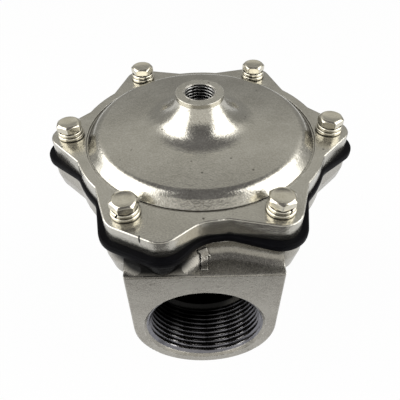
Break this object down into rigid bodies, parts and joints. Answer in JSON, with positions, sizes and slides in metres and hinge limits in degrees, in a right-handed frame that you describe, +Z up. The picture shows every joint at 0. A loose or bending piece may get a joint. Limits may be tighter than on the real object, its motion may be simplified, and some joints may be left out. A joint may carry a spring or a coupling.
{
  "type": "dust collector pulse valve",
  "caption": "Right-angle diaphragm pulse valve with a lobed, screwed cover, threaded inlet and outlet, and a threaded pilot port in the cover's boss.",
  "frame": {"origin": "centre of the outlet's end face, on the valve axis", "axes": "+Z up the valve axis from the outlet to the pilot port; the inlet leaves towards -Y; +X completes the right-handed frame"},
  "size_m": [0.1324, 0.1241, 0.1252],
  "materials": {
    "body_casting": "satin die-cast aluminium",
    "cover_casting": "satin die-cast aluminium",
    "rubber": "moulded black rubber",
    "stainless_bolt": "bright stainless",
    "stainless_washer": "bright stainless",
    "plated_steel": "zinc-plated steel",
    "spring_steel": "drawn spring wire"
  },
  "bodies": {
    "housing": {"valve_body": "body_casting", "cover": "cover_casting", "diaphragm": "rubber", "closing_spring": "spring_steel", "cover_bolt_1": "stainless_bolt", "spring_washer_1": "stainless_washer", "flat_washer_1": "stainless_washer", "cover_bolt_2": "stainless_bolt", "spring_washer_2": "stainless_washer", "flat_washer_2": "stainless_washer", "cover_bolt_3": "stainless_bolt", "spring_washer_3": "stainless_washer", "flat_washer_3": "stainless_washer", "cover_bolt_4": "stainless_bolt", "spring_washer_4": "stainless_washer", "flat_washer_4": "stainless_washer", "cover_bolt_5": "stainless_bolt", "spring_washer_5": "stainless_washer", "flat_washer_5": "stainless_washer", "cover_bolt_6": "stainless_bolt", "spring_washer_6": "stainless_washer", "flat_washer_6": "stainless_washer"},
    "diaphragm_core": {"upper_plate": "plated_steel", "lower_plate": "plated_steel", "core_screw": "plated_steel", "core_washer": "plated_steel", "core_nut": "plated_steel"}
  },
  "joints": [
    {"name": "diaphragm_lift", "type": "slide", "parent": "housing", "child": "diaphragm_core", "axis": [0, 0, 1], "range_m": [0, 0.009], "stiffness_N_per_m": 1200, "springref_m": -0.012, "deforming": ["closing_spring", "diaphragm"]}
  ]
}
